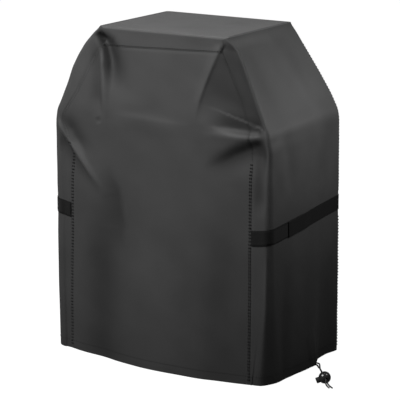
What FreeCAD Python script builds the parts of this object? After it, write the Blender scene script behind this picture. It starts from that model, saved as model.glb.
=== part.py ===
import FreeCAD, Part
import math
import os
from FreeCAD import Vector

# Fitted fabric grill cover standing on its hem. Millimetres, +Z up, front towards -Y.
# The origin is the bottom centre of the cover's own box.

# Driving dimensions of the cover
WIDTH = 820.0            # over the side panels, at hem and shoulder
DEPTH = 464.0            # from the front corners to the back panel, at hem and shoulder
HEIGHT = 1092.0
SHOULDER_Z = 803.0       # height where the sides start to lean in
TOP_WIDTH = 479.0
TOP_DEPTH = 406.0
HOOD_Z = 950.0           # a level half way up the hood, where it is a little fuller
HOOD_FULLNESS = 12.0     # how far the hood stands out from a straight slope there
FLAP_DROP = 48.0         # how far the top panel folds down over front and back
FRONT_BULGE = 50.0       # the hem hangs out this far between the front seams
SIDE_BULGE = 16.0        # and this far at each side
FRONT_CORNER_R = 42.0
REAR_CORNER_R = 18.0
TOP_CORNER_R = 12.0
SEAM_INSET_HEM = 66.0    # front seam, measured in from the side of the cover
SEAM_INSET_SHOULDER = 77.0
SEAM_INSET_HOOD = 65.0
SEAM_INSET_FLAP = 49.0
SEAM_INSET_TOP = 14.0
FABRIC = 2.0             # coated fabric with its seam allowance, as one plain wall
EDGE_PRESS = 0.3         # the top panel is pressed this much thinner along its seams
EDGE_WIDTH = 20.0

# Hem casing and its drawcord
HEM_HEIGHT = 30.0
HEM_CHANNEL = 7.5        # clear width for the cord
HEM_PLY = 1.5
HEM_LIFT = 0.5           # the casing hangs this far above the panels' lower edges
LAYER_GAP = 0.2          # between a panel and what is sewn inside it
CORD_D = 5.0
CORD_CLEAR = 0.4
EXIT_Y = 70.0            # middle of the cord exit on the right side
EXIT_SPACING = 16.0
EXIT_SLOT = (28.0, 6.5)  # length and height of the slot in the side panel

# Bindings inside the seams
BINDING_WIDTH = 15.0
BINDING_THICK = 1.0

# Straps
STRAP_HEIGHT = 51.0
STRAP_THICK = 1.2
STRAP_Z = 488.0          # middle of the strap at the front corner
STRAP_RISE = 0.052       # rise per millimetre towards the back
STRAP_TURN_DROP = 0.10   # drop per millimetre from the corner to the front seam
STRAP_GAP = 0.4
TAPE_HEIGHT = 41.0
TAPE_THICK = 0.8
TAPE_GAP = 0.3           # between hook and loop faces
SEWN_GAP = 0.1           # between the rear strap and its hook tape
FRONT_STRAP_END_Y = 0.0
REAR_STRAP_END_Y = -97.0
TAPE_MARGIN = 6.0
REAR_WRAP_DEG = 35.0     # the rear strap goes this far round the rear corner

# Cord lock: a ball with a sprung plunger
LOCK_FROM_EXIT = (111.4, -139.0)   # where the ball lies, from the cord exit
LOCK_R = 19.5
LOCK_TILT = 20.0         # the plunger leans down this much, as the lock lies
LOCK_HOLE_D = 12.4
PLUNGER_D = 18.6
PLUNGER_FIT = 0.05
PLUNGER_END = 29.0       # from the ball's centre to the plunger's face
PLUNGER_INNER = 9.5
PLUNGER_TRAVEL = 5.0
PLUNGER_SLOT_WIDTH = 11.6
PLUNGER_EDGE = 1.2
WEB = 2.5
BORE_DEPTH = 15.5        # from the ball's centre
SPRING_D = 8.0
SPRING_WIRE = 0.9
SPRING_TURNS = 5
SPRING_POCKET_D = 10.4
SEAT_GAP = 0.15
CORD_STACK = 0.2         # gap between the two cords inside the lock
LEVEL_RUN = 85.0         # straight stretch of cord before the lock's centre

HALF = WIDTH / 2
FRONT_Y = -(DEPTH - FRONT_BULGE) / 2      # plane of the front corners
REAR_Y = FRONT_Y + DEPTH
WALL_TOP = HEIGHT - FABRIC


def lean(z):
    """Share of the way from the shoulder to the top, 0 below the shoulder."""
    return max(0.0, (z - SHOULDER_Z) / (WALL_TOP - SHOULDER_Z))


def key_level(z, inset, fullness=0.0, corner=FRONT_CORNER_R, rear=REAR_CORNER_R, bulge=0.0):
    """The outline of the cover at one height, as a dictionary of its sizes."""
    half = HALF - (HALF - TOP_WIDTH / 2) * lean(z) + fullness
    setback = (DEPTH - TOP_DEPTH) / 2 * lean(z)
    return {"z": z, "half": half, "front": FRONT_Y + setback, "back": REAR_Y - setback,
            "seam": half - inset, "corner": corner, "rear": rear,
            "front_bulge": FRONT_BULGE * bulge, "side_bulge": SIDE_BULGE * bulge}


FLAP_Z = HEIGHT - FLAP_DROP
LEVELS = [
    key_level(0.0, SEAM_INSET_HEM, bulge=1.0),
    key_level(SHOULDER_Z, SEAM_INSET_SHOULDER),
    key_level(HOOD_Z, SEAM_INSET_HOOD, fullness=HOOD_FULLNESS),
    key_level(FLAP_Z, SEAM_INSET_FLAP, fullness=HOOD_FULLNESS / 2),
    key_level(WALL_TOP, SEAM_INSET_TOP, corner=TOP_CORNER_R, rear=TOP_CORNER_R),
]


def level_at(z):
    """The outline at any height, straight between the key levels."""
    for low, high in zip(LEVELS, LEVELS[1:]):
        if z <= high["z"]:
            break
    share = (z - low["z"]) / (high["z"] - low["z"])
    return {key: low[key] + (high[key] - low[key]) * share for key in low}


def levels_between(z0, z1):
    inner = [level for level in LEVELS if z0 < level["z"] < z1]
    return [level_at(z0)] + inner + [level_at(z1)]


def edge(a, b, bulge_point=None):
    """A straight edge, or an arc through a third point."""
    if bulge_point is None:
        return Part.LineSegment(a, b).toShape()
    return Part.Arc(a, bulge_point, b).toShape()


def quarter(centre, radius, start_deg, sweep_deg, z):
    """An arc about a point, and its two ends."""
    points = []
    for part in (0.0, 0.5, 1.0):
        angle = math.radians(start_deg + sweep_deg * part)
        points.append(Vector(centre[0] + radius * math.cos(angle), centre[1] + radius * math.sin(angle), z))
    return Part.Arc(*points).toShape(), points[0], points[2]


def side_path(level, inward):
    """Right side, from the front seam round the corner and along to the rear seam."""
    z = level["z"]
    half = level["half"] - inward
    front = level["front"] + inward
    back = level["back"] - inward
    r_front = level["corner"] - inward
    r_rear = level["rear"] - inward
    seam = Vector(level["seam"], front, z)
    corner, a, b = quarter((half - r_front, front + r_front), r_front, -90, 90, z)
    rear, c, d = quarter((half - r_rear, back - r_rear), r_rear, 0, 90, z)
    middle = None
    if level["side_bulge"] > 0:
        middle = Vector(half + level["side_bulge"], (b.y + c.y) / 2, z)
    return [edge(seam, a), corner, edge(b, c, middle), rear], seam, d


def front_path(level, inward):
    z = level["z"]
    front = level["front"] + inward
    a = Vector(-level["seam"], front, z)
    b = Vector(level["seam"], front, z)
    middle = None
    if level["front_bulge"] > 0:
        middle = Vector(0, front - level["front_bulge"], z)
    return [edge(a, b, middle)], a, b


def back_path(level, inward):
    z = level["z"]
    end = level["half"] - level["rear"]
    a = Vector(end, level["back"] - inward, z)
    b = Vector(-end, level["back"] - inward, z)
    return [edge(a, b)], a, b


def wall(path, z0, z1, outside, inside):
    """A wall that follows a path between two heights, from one inward offset to another."""
    wires = []
    for level in levels_between(z0, z1):
        outer, a, b = path(level, outside)
        inner, c, d = path(level, inside)
        wires.append(Part.Wire(Part.__sortEdges__(outer + [edge(b, d)] + inner + [edge(c, a)])))
    return Part.makeLoft(wires, True, True)


def mirrored(shape):
    return shape.mirror(Vector(0, 0, 0), Vector(1, 0, 0))


def save(shape, node):
    if not shape.isValid():
        raise RuntimeError(node + " is not a valid solid")
    shape.exportStep("parts/" + node + ".step")
    print("%-26s %2d solid  %10.1f mm3" % (node, len(shape.Solids), shape.Volume))


def save_pair(shape, name):
    save(shape, "right_" + name)
    save(mirrored(shape), "left_" + name)


def top_panel():
    """Flat top with the two flaps that fold down over the front and the back."""
    top = LEVELS[-1]
    a, b = top["half"], (top["back"] - top["front"]) / 2
    slab = Part.makeBox(2 * a, 2 * b, FABRIC, Vector(-a, top["front"], WALL_TOP))
    upright = [e for e in slab.Edges if abs(e.Vertexes[0].Z - e.Vertexes[1].Z) > FABRIC / 2]
    slab = slab.makeFillet(top["corner"], upright)
    middle = Part.makeBox(2 * (a - EDGE_WIDTH), 2 * (b - EDGE_WIDTH), EDGE_PRESS + FABRIC / 2,
                          Vector(EDGE_WIDTH - a, top["front"] + EDGE_WIDTH, WALL_TOP - EDGE_PRESS))
    front_flap = wall(front_path, FLAP_Z, WALL_TOP, 0, FABRIC)
    back_flap = wall(back_path, FLAP_Z, WALL_TOP, 0, FABRIC)
    return slab.fuse([middle, front_flap, back_flap]).removeSplitter()


def hem_casing(path):
    """Closed channel inside a panel's lower edge: floor, inner ply and sewn top."""
    near = FABRIC + LAYER_GAP
    far = near + HEM_CHANNEL
    floor = wall(path, HEM_LIFT, HEM_LIFT + HEM_PLY, near, far + HEM_PLY)
    ply = wall(path, HEM_LIFT, HEM_HEIGHT, far, far + HEM_PLY)
    roof = wall(path, HEM_HEIGHT - HEM_PLY, HEM_HEIGHT, near, far + HEM_PLY)
    return floor.fuse([ply, roof]).removeSplitter()


def exit_face_x(y):
    """Outer face of the right side panel at hem level, where the arc of the bulge crosses y."""
    low = LEVELS[0]
    y0 = low["front"] + low["corner"]
    y1 = low["back"] - low["rear"]
    chord = (y1 - y0) / 2
    radius = (chord ** 2 + low["side_bulge"] ** 2) / (2 * low["side_bulge"])
    centre_x = low["half"] + low["side_bulge"] - radius
    return centre_x + math.sqrt(radius ** 2 - (y - (y0 + y1) / 2) ** 2)


CORD_Z = HEM_LIFT + HEM_PLY + CORD_CLEAR + CORD_D / 2


def right_side_panel():
    panel = wall(side_path, 0.0, WALL_TOP, 0, FABRIC)
    length, height = EXIT_SLOT
    slot = Part.makeBox(HALF, length, height,
                        Vector(HALF - FABRIC, EXIT_Y - length / 2, CORD_Z - height / 2))
    return panel.cut(slot)


def front_binding():
    """Strip over the front seam's turned edge, on the side panel's inner face."""
    def path(level, inward):
        a = Vector(level["seam"], level["front"] + inward, level["z"])
        room = level["half"] - level["corner"] - level["seam"]
        b = a + Vector(min(BINDING_WIDTH, room), 0, 0)
        return [edge(a, b)], a, b
    return wall(path, HEM_HEIGHT + BINDING_THICK, FLAP_Z, FABRIC, FABRIC + BINDING_THICK)


def back_binding():
    def path(level, inward):
        a = Vector(level["half"] - level["rear"], level["back"] - inward, level["z"])
        b = a - Vector(BINDING_WIDTH, 0, 0)
        return [edge(a, b)], a, b
    return wall(path, HEM_HEIGHT + BINDING_THICK, WALL_TOP - 2 * BINDING_THICK, FABRIC, FABRIC + BINDING_THICK)


def top_binding():
    """Strip under the top panel along its right-hand seam."""
    top = LEVELS[-1]
    margin = BINDING_WIDTH + FABRIC
    length = top["back"] - top["front"] - 2 * margin
    slope = (LEVELS[-2]["half"] - top["half"]) / (top["z"] - LEVELS[-2]["z"])
    edge_x = top["half"] - FABRIC
    outline = [Vector(edge_x - BINDING_WIDTH, 0, WALL_TOP), Vector(edge_x, 0, WALL_TOP),
               Vector(edge_x + slope * BINDING_THICK, 0, WALL_TOP - BINDING_THICK),
               Vector(edge_x - BINDING_WIDTH, 0, WALL_TOP - BINDING_THICK)]
    face = Part.Face(Part.makePolygon(outline + outline[:1]))
    strip = face.extrude(Vector(0, length, 0))
    strip.translate(Vector(0, top["front"] + margin, 0))
    return strip


def flap_binding(path):
    """Strip on the inner face just below a flap's seam, between the upright bindings."""
    def inner(level, inward):
        (line,), a, b = path(level, inward)
        step = (b - a).normalize() * (BINDING_WIDTH + 2 * BINDING_THICK)
        return [edge(a + step, b - step)], a + step, b - step
    return wall(inner, FLAP_Z - BINDING_WIDTH, FLAP_Z, FABRIC, FABRIC + BINDING_THICK)


def tangent_corner(centre, radius, start_deg, sweep_deg, count=3):
    """Points outside an arc, so that the rounded path through them follows it."""
    step = math.radians(sweep_deg) / count
    reach = radius / math.cos(step / 2)
    points = []
    for i in range(count):
        angle = math.radians(start_deg) + step * (i + 0.5)
        points.append((centre[0] + reach * math.cos(angle), centre[1] + reach * math.sin(angle)))
    return points


def bow(a, b, sagitta, count):
    """Points between a and b on a shallow arc that stands out by the sagitta, ends left out."""
    ax, ay = a
    bx, by = b
    length = math.hypot(bx - ax, by - ay)
    nx, ny = (by - ay) / length, -(bx - ax) / length
    points = []
    for i in range(1, count):
        share = i / count
        out = sagitta * 4 * share * (1 - share)
        points.append((ax + (bx - ax) * share + nx * out, ay + (by - ay) * share + ny * out))
    return points


def hem_cord_points():
    """Once round inside the casing, from the exit's rear side to its front side."""
    low = LEVELS[0]
    inward = FABRIC + LAYER_GAP + HEM_CHANNEL / 2
    half = low["half"] - inward
    front = low["front"] + inward
    back = low["back"] - inward
    r_front = low["corner"] - inward
    r_rear = low["rear"] - inward
    y0, y1 = low["front"] + low["corner"], low["back"] - low["rear"]
    low_y, high_y = EXIT_Y - EXIT_SPACING / 2, EXIT_Y + EXIT_SPACING / 2
    turn = inward - FABRIC / 2
    face_high, face_low = exit_face_x(high_y), exit_face_x(low_y)

    exit_high = tangent_corner((face_high - inward + turn, high_y + turn), turn, 270, -90)
    exit_low = tangent_corner((face_low - inward + turn, low_y - turn), turn, 180, -90)
    side = [(half + low["side_bulge"] * 4 * s * (1 - s), y0 + (y1 - y0) * s) for s in (0.15, 0.35, 0.8)]
    right_rear = tangent_corner((half - r_rear, back - r_rear), r_rear, 0, 90)
    left_rear = tangent_corner((-half + r_rear, back - r_rear), r_rear, 90, 90)
    left_front = tangent_corner((-half + r_front, front + r_front), r_front, 180, 90)
    right_front = tangent_corner((half - r_front, front + r_front), r_front, 270, 90)
    seam_left, seam_right = (-low["seam"], front), (low["seam"], front)

    route = [(face_high, high_y)] + exit_high + [side[2]] + right_rear + left_rear
    route += bow((-half, y1), (-half, y0), low["side_bulge"], 4) + left_front + [seam_left]
    route += bow(seam_left, seam_right, low["front_bulge"], 7) + [seam_right] + right_front
    route += side[:2] + exit_low + [(face_low, low_y)]
    return [Vector(x, y, CORD_Z) for x, y in route]


def rounded_path(points, name):
    """Straight runs joined by tangent arcs, each as large as its two runs allow."""
    edges = []
    radii = []
    at = points[0]
    for before, corner, after in zip(points, points[1:], points[2:]):
        to_before = before - corner
        to_after = after - corner
        run = min(to_before.Length, to_after.Length)
        half_turn = (math.pi - to_before.getAngle(to_after)) / 2
        cut = 0.45 * run
        radii.append(cut / math.tan(half_turn))
        start = corner + to_before.normalize() * cut
        end = corner + to_after.normalize() * cut
        inward = (to_before + to_after).normalize()
        middle = corner + inward * (radii[-1] / math.cos(half_turn) - radii[-1])
        edges.append(edge(at, start))
        edges.append(edge(start, end, middle))
        at = end
    edges.append(edge(at, points[-1]))
    path = Part.Wire(edges)
    print("%s: length %.1f mm, radii %s" % (name, path.Length, [round(r, 1) for r in radii]))
    return path


def cord(points, name):
    path = rounded_path(points, name)
    section = Part.Wire(Part.Circle(points[0], points[1] - points[0], CORD_D / 2).toShape())
    tube = path.makePipeShell([section], True, True)
    expected = math.pi * CORD_D ** 2 / 4 * path.Length
    print("%s: volume %.1f, section times length %.1f" % (name, tube.Volume, expected))
    return tube


# Directions at the lock: along the cords away from the hem, out along the plunger, and across
EXIT_POINT = Vector(exit_face_x(EXIT_Y), EXIT_Y, 0)
ALONG = Vector(LOCK_FROM_EXIT[0], LOCK_FROM_EXIT[1], 0)
LOCK_CENTRE = EXIT_POINT + ALONG + Vector(0, 0, LOCK_R)
ALONG.normalize()
LEVEL_OUT = Vector(ALONG.y, -ALONG.x, 0)
TILT = math.radians(LOCK_TILT)
PLUNGER_OUT = LEVEL_OUT * math.cos(TILT) - Vector(0, 0, math.sin(TILT))
ACROSS = LEVEL_OUT * math.sin(TILT) + Vector(0, 0, math.cos(TILT))


def tail_points(side):
    """Route of one free tail: side is -1 for the front one, +1 for the rear one."""
    y = EXIT_Y + side * EXIT_SPACING / 2
    face = exit_face_x(y)
    inside = LOCK_CENTRE - ACROSS * (side * (CORD_D + CORD_STACK) / 2)
    spread = LEVEL_OUT * (-side)
    return [
        Vector(face, y, CORD_Z),
        Vector(face + 11, y, CORD_Z),
        Vector(face + 24, y - 7, CORD_Z + 0.5),
        inside - ALONG * (LEVEL_RUN + 30) + spread * 4.5 - Vector(0, 0, 8.5),
        inside - ALONG * LEVEL_RUN,
        inside + ALONG * 27,
        LOCK_CENTRE + ALONG * 43 + spread * 5.2 - Vector(0, 0, 12.2 + side),
        Vector(LOCK_CENTRE.x + 7, LOCK_CENTRE.y + 8, CORD_D / 2) + ALONG * (57 + side) + spread * 5,
    ]


def to_lock(shape):
    """From the lock's own axes (X along the cords, Z out along the plunger) to its place."""
    matrix = FreeCAD.Matrix(
        ALONG.x, ACROSS.x, PLUNGER_OUT.x, LOCK_CENTRE.x,
        ALONG.y, ACROSS.y, PLUNGER_OUT.y, LOCK_CENTRE.y,
        ALONG.z, ACROSS.z, PLUNGER_OUT.z, LOCK_CENTRE.z,
        0, 0, 0, 1)
    placed = shape.copy()
    placed.Placement = FreeCAD.Placement(matrix)
    return placed


def lock_body():
    ball = Part.makeSphere(LOCK_R)
    bore = Part.makeCylinder(PLUNGER_D / 2 + PLUNGER_FIT, LOCK_R + BORE_DEPTH, Vector(0, 0, -BORE_DEPTH))
    hole = Part.makeCylinder(LOCK_HOLE_D / 2, 3 * LOCK_R, Vector(-1.5 * LOCK_R, 0, 0), Vector(1, 0, 0))
    return ball.cut(bore.fuse(hole))


def lock_plunger():
    stem = Part.makeCylinder(PLUNGER_D / 2, PLUNGER_END + PLUNGER_INNER, Vector(0, 0, -PLUNGER_INNER))
    outer_rim = [e for e in stem.Edges if abs(e.BoundBox.ZMin - PLUNGER_END) < 0.01 and e.Closed]
    stem = stem.makeFillet(PLUNGER_EDGE, outer_rim)
    low = -(CORD_D / 2 + TAPE_GAP)
    slot = Part.makeBox(PLUNGER_D * 2, PLUNGER_SLOT_WIDTH, PLUNGER_TRAVEL - 2 * low,
                        Vector(-PLUNGER_D, -PLUNGER_SLOT_WIDTH / 2, low))
    pocket = Part.makeCylinder(SPRING_POCKET_D / 2, PLUNGER_INNER + low - WEB, Vector(0, 0, -PLUNGER_INNER))
    return stem.cut(slot.fuse(pocket))


def lock_spring():
    """Coil between the bore's end and the pocket in the plunger."""
    start = -BORE_DEPTH + SEAT_GAP + SPRING_WIRE / 2
    end = -(CORD_D / 2 + TAPE_GAP) - WEB - SEAT_GAP - SPRING_WIRE / 2
    radius = (SPRING_D - SPRING_WIRE) / 2
    helix = Part.makeHelix((end - start) / SPRING_TURNS, end - start, radius)
    helix.translate(Vector(0, 0, start))
    section = Part.Wire(Part.Circle(Vector(radius, 0, start), Vector(0, 1, 0), SPRING_WIRE / 2).toShape())
    return Part.Wire(helix).makePipeShell([section], True, True)


def side_out(y):
    """How far the right side stands out from its corners at strap height, at a given y."""
    y0, y1 = FRONT_Y + FRONT_CORNER_R, REAR_Y - REAR_CORNER_R
    share = (y - y0) / (y1 - y0)
    low_edge = STRAP_Z - STRAP_HEIGHT / 2
    return SIDE_BULGE * (1 - low_edge / SHOULDER_Z) * 4 * share * (1 - share)


def band(y0, y1, inner, outer, height):
    """Strip along the side: inner and outer give its two faces' distance at each y."""
    count = 8
    inside, outside = [], []
    for i in range(count + 1):
        y = y0 + (y1 - y0) * i / count
        inside.append(Vector(HALF + side_out(y) + inner(y), y, 0))
        outside.append(Vector(HALF + side_out(y) + outer(y), y, 0))
    curves = []
    for points in (inside, outside):
        curve = Part.BSplineCurve()
        curve.interpolate(points)
        curves.append(curve.toShape())
    ends = [edge(inside[0], outside[0]), edge(inside[-1], outside[-1])]
    face = Part.Face(Part.Wire(Part.__sortEdges__(curves + ends)))
    return face.extrude(Vector(0, 0, height))


def ring_part(centre, inner_r, outer_r, start_deg, sweep_deg, height):
    """Upright strip bent round an arc."""
    outer, a, b = quarter(centre, outer_r, start_deg, sweep_deg, 0)
    inner, c, d = quarter(centre, inner_r, start_deg, sweep_deg, 0)
    face = Part.Face(Part.Wire(Part.__sortEdges__([outer, edge(b, d), inner, edge(c, a)])))
    return face.extrude(Vector(0, 0, height))


def slanted(strip, height):
    """Lift a level strip to strap height and give it the strap's rise to the back."""
    matrix = FreeCAD.Matrix()
    matrix.A31 = STRAP_TURN_DROP
    matrix.A32 = STRAP_RISE
    matrix.A34 = STRAP_Z - height / 2 - STRAP_TURN_DROP * HALF - STRAP_RISE * (FRONT_Y + FRONT_CORNER_R)
    return strip.transformGeometry(matrix)


def front_strip(start, thick, height, end_y, seam_gap):
    """Runs from the front seam round the front corner and back along the side."""
    corner = (HALF - FRONT_CORNER_R, FRONT_Y + FRONT_CORNER_R)
    seam_x = level_at(STRAP_Z)["seam"] + seam_gap
    inner_r = FRONT_CORNER_R + start
    leg = Part.makeBox(corner[0] - seam_x, thick, height, Vector(seam_x, corner[1] - inner_r - thick, 0))
    turn = ring_part(corner, inner_r, inner_r + thick, -90, 90, height)
    run = band(corner[1], end_y, lambda y: start, lambda y: start + thick, height)
    return slanted(leg.fuse([turn, run]).removeSplitter(), height)


def rear_stand_off(y):
    """The rear strap's inner face: over the front strap at its free end, on the cover at its root."""
    over = STRAP_GAP + STRAP_THICK + 2 * TAPE_THICK + TAPE_GAP
    root_y = REAR_Y - REAR_CORNER_R
    share = min(1.0, max(0.0, (y - FRONT_STRAP_END_Y) / (root_y - FRONT_STRAP_END_Y)))
    return over + (STRAP_GAP - over) * share * share * (3 - 2 * share)


def rear_strap():
    root_y = REAR_Y - REAR_CORNER_R
    centre = (HALF - REAR_CORNER_R, root_y)
    run = band(REAR_STRAP_END_Y, root_y, rear_stand_off, lambda y: rear_stand_off(y) + STRAP_THICK, STRAP_HEIGHT)
    inner_r = REAR_CORNER_R + STRAP_GAP
    turn = ring_part(centre, inner_r, inner_r + STRAP_THICK, 0, REAR_WRAP_DEG, STRAP_HEIGHT)
    return slanted(run.fuse(turn).removeSplitter(), STRAP_HEIGHT)


def hook_tape():
    """On the inner face of the rear strap, facing the loop tape."""
    strip = band(REAR_STRAP_END_Y + TAPE_MARGIN, FRONT_STRAP_END_Y - TAPE_MARGIN,
                 lambda y: rear_stand_off(y) - TAPE_THICK, lambda y: rear_stand_off(y) - SEWN_GAP, TAPE_HEIGHT)
    return slanted(strip, TAPE_HEIGHT)


os.makedirs("parts", exist_ok=True)

save(top_panel(), "top_panel")
save(wall(front_path, 0.0, FLAP_Z, 0, FABRIC), "front_panel")
save(wall(back_path, 0.0, FLAP_Z, 0, FABRIC), "back_panel")
save(right_side_panel(), "right_side_panel")
save(mirrored(wall(side_path, 0.0, WALL_TOP, 0, FABRIC)), "left_side_panel")

save(hem_casing(front_path), "front_hem_casing")
save(hem_casing(back_path), "back_hem_casing")
save_pair(hem_casing(side_path), "hem_casing")
save_pair(front_binding(), "front_seam_binding")
save_pair(back_binding(), "back_seam_binding")
save_pair(top_binding(), "top_seam_binding")
save(flap_binding(front_path), "front_flap_binding")
save(flap_binding(back_path), "back_flap_binding")

save_pair(front_strip(STRAP_GAP, STRAP_THICK, STRAP_HEIGHT, FRONT_STRAP_END_Y, 0), "front_strap")
save_pair(front_strip(STRAP_GAP + STRAP_THICK, TAPE_THICK, TAPE_HEIGHT, FRONT_STRAP_END_Y - TAPE_MARGIN,
                      TAPE_MARGIN / 2), "loop_tape")
save_pair(rear_strap(), "rear_strap")
save_pair(hook_tape(), "hook_tape")

save(cord(hem_cord_points(), "hem cord"), "drawcord")
save(cord(tail_points(-1), "front tail"), "drawcord_tail_front")
save(cord(tail_points(1), "rear tail"), "drawcord_tail_rear")
save(to_lock(lock_body()), "cord_lock_body")
save(to_lock(lock_plunger()), "cord_lock_plunger")
save(to_lock(lock_spring()), "cord_lock_spring")
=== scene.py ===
import math

import bmesh
import bpy
import numpy as np
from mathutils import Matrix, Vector


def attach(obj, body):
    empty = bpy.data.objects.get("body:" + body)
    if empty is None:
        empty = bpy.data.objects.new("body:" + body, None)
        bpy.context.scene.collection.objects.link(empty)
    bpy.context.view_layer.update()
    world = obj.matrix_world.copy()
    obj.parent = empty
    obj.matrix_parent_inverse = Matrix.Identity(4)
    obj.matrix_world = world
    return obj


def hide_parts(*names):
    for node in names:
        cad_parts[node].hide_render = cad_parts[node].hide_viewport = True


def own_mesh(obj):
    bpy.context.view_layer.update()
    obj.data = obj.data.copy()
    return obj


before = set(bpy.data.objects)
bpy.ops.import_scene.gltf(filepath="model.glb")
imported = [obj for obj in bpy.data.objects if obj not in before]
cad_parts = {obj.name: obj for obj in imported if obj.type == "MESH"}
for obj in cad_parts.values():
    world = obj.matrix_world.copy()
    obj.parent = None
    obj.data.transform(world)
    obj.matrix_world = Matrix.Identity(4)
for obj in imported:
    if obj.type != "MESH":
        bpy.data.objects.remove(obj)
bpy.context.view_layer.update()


# ---- front panel
# The front of the cover: one width of coated polyester cloth, cut as a trapezoid above the
# shoulder so that it closes over the grill's lid. It hangs from the top panel's front flap and
# is sewn to the side panels down both its edges. It bells out towards the hem.

HEIGHT = 1.0915              # top of the cover
TOP_SEAM = 1.0845            # where the walls end under the top panel
CLOTH = 0.0014               # cloth with its coating
FLAP_HALF = .224             # half the width of the top panel's front flap


def eased(x, places, sizes, ease):
    """Straight lines from size to size along x, each point the mean over x plus and minus ease, so they turn
    softly."""
    return np.mean([np.interp(x + shift, places, sizes) for shift in np.linspace(-ease, ease, 9)], axis=0)


def smooth(x, start, end):
    """0 before start, 1 after end, and three x squared less two x cubed in between."""
    share = np.clip((x - start) / (end - start), 0, 1)
    return share * share * (3 - 2 * share)


def half_width(z, side):
    """Half the cover's width at its front corners, a little fuller on the left-hand side."""
    right = eased(z, [0, .4, .76, .803, .861, .942, 1.015, 1.06, 1.09],
                  [.413, .4135, .411, .4035, .376, .3375, .302, .275, .24], .01)
    left = eased(z, [0, .32, .56, .765, .808, .852, .897, .949, .992, 1.032, 1.066, 1.09],
                 [.419, .4205, .4162, .41, .4035, .384, .3655, .347, .326, .3, .269, .24], .01)
    return np.where(side < 0, left, right)


def rear_half_width(z):
    """Half the width at the back corners."""
    return eased(z, [0, .5, .79, .821, .868, .939, 1.018, 1.06, 1.09],
                 [.415, .411, .408, .402, .38, .338, .287, .261, .2385], .01)


def seam_place(z, side):
    """How far the front seam is from the middle of the front."""
    right = eased(z, [0, .7, .819, .878, .954, 1.015, 1.047, 1.09],
                  [.346, .345, .331, .308, .271, .238, .2215, .2265], .014)
    left = eased(z, [0, .34, .685, .735, .772, .8, .842, .873, .93, .99, 1.045, 1.09],
                 [.351, .344, .3385, .3545, .3725, .37, .342, .32, .29, .26, .224, .2265], .01)
    return np.where(side < 0, left, right)


def belly(x, z):
    """How far the front bells out: flat in the middle, nothing at the corners, and most at the hem."""
    at_hem = eased(x, [-.385, -.344, -.267, -.149, -.045, .054, .182, .268, .344, .37],
                   [-.004, -.002, .017, .037, .0425, .0425, .039, .0235, .003, 0], .022)
    return at_hem * np.clip(1 - z / .803, 0, 1) ** 1.15


def gather(y, z):
    """How far the right side stands out at the cord exit and falls in behind it, where the cord draws the hem."""
    at_hem = eased(y, [-.09, -.044, .0, .046, .078, .1, .128, .19, .235],
                   [0, .001, .0085, .016, .015, .003, -.0085, -.009, 0], .009)
    return at_hem * np.clip(1 - z / .6, 0, 1) ** 1.6


def outline(q, z):
    """Plan of the cover at height z. q is 0 at the middle of the front, 1 at the front seam, 2 to 3 round the
    front corner, 4 to 5 round the rear corner to the back seam, and 6 at the middle of the back; the left-hand
    side has minus q. The corners are quarter circles between straight or bellied runs, drawn out to the back near
    the hem at the front right."""
    side = np.where(q < 0, -1.0, 1.0)
    u = np.abs(q)
    lean = eased(z, [0, .803, 1.09], [0, 0, 1], .03)
    front, back = -.207 + .029 * lean, .2565 - .029 * lean
    half, rear_half, seam = half_width(z, side), rear_half_width(z), seam_place(z, side)
    corner = np.where(side > 0, eased(z, [0, .25, .72, .83, 1.04, 1.09], [.061, .032, .018, .014, .014, .012], .02),
                      eased(z, [0, .5, .75, 1.04, 1.09], [.046, .042, .028, .016, .012], .02))
    deep = corner * np.where(side > 0, eased(z, [0, .12, .34], [1.75, 1.3, 1], .02), 1)
    rear = eased(z, [0, 1.03, 1.09], [.018, .018, .02], .01)
    across = np.where(u < 1, u * seam, seam + np.clip(u - 1, 0, 1) * (half - corner - seam))
    turn = np.clip(u - 2, 0, 1) * math.pi / 2
    x = across + corner * np.sin(turn)
    y = front + deep * (1 - np.cos(turn))
    y = y - np.where(u < 2, belly(side * across, z), 0)
    run = np.clip(u - 3, 0, 1)
    side_y = front + deep + run * (back - rear - front - deep)
    side_x = half + (rear_half - half) * smooth(run, 0, 1)
    full = .01 * np.sin(math.pi * run) ** 2 * np.clip(1 - z / .8, 0, 1)
    side_x = side_x + np.where(side > 0, gather(side_y, z), full)
    x, y = np.where(u > 3, side_x, x), np.where(u > 3, side_y, y)
    turn = np.clip(u - 4, 0, 1) * math.pi / 2
    x = np.where(u > 4, rear_half - rear + rear * np.cos(turn), x)
    y = np.where(u > 4, back - rear + rear * np.sin(turn), y)
    x = np.where(u > 5, (rear_half - rear) * (6 - u), x)
    return side * x, y


def beside(a, b, line):
    """Distance of each place (a, b) from a line of straight runs, plus on its left-hand side going along it, and
    the share of the line's length reached there."""
    line = np.array(line, float)
    lengths = np.hypot(*np.diff(line, axis=0).T)
    best, share = np.full(np.shape(a), 9.0), np.zeros(np.shape(a))
    for start, end, length, before in zip(line, line[1:], lengths, np.cumsum(lengths) - lengths):
        along = (end - start) / length
        t = np.clip((a - start[0]) * along[0] + (b - start[1]) * along[1], 0, length)
        da, db = a - start[0] - t * along[0], b - start[1] - t * along[1]
        sign = np.where(along[0] * db - along[1] * da >= 0, 1.0, -1.0)
        distance = np.hypot(da, db)
        closer = distance < np.abs(best)
        best = np.where(closer, sign * distance, best)
        share = np.where(closer, (before + t) / lengths.sum(), share)
    return best, share


def along_fade(share, fade):
    """1 along a fold's middle, easing to nothing over a share of its length at each end."""
    return (smooth(share, -.02, fade[0]) if fade[0] else 1) * (1 - (smooth(share, 1 - fade[1], 1.02) if fade[1] else 0))


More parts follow.
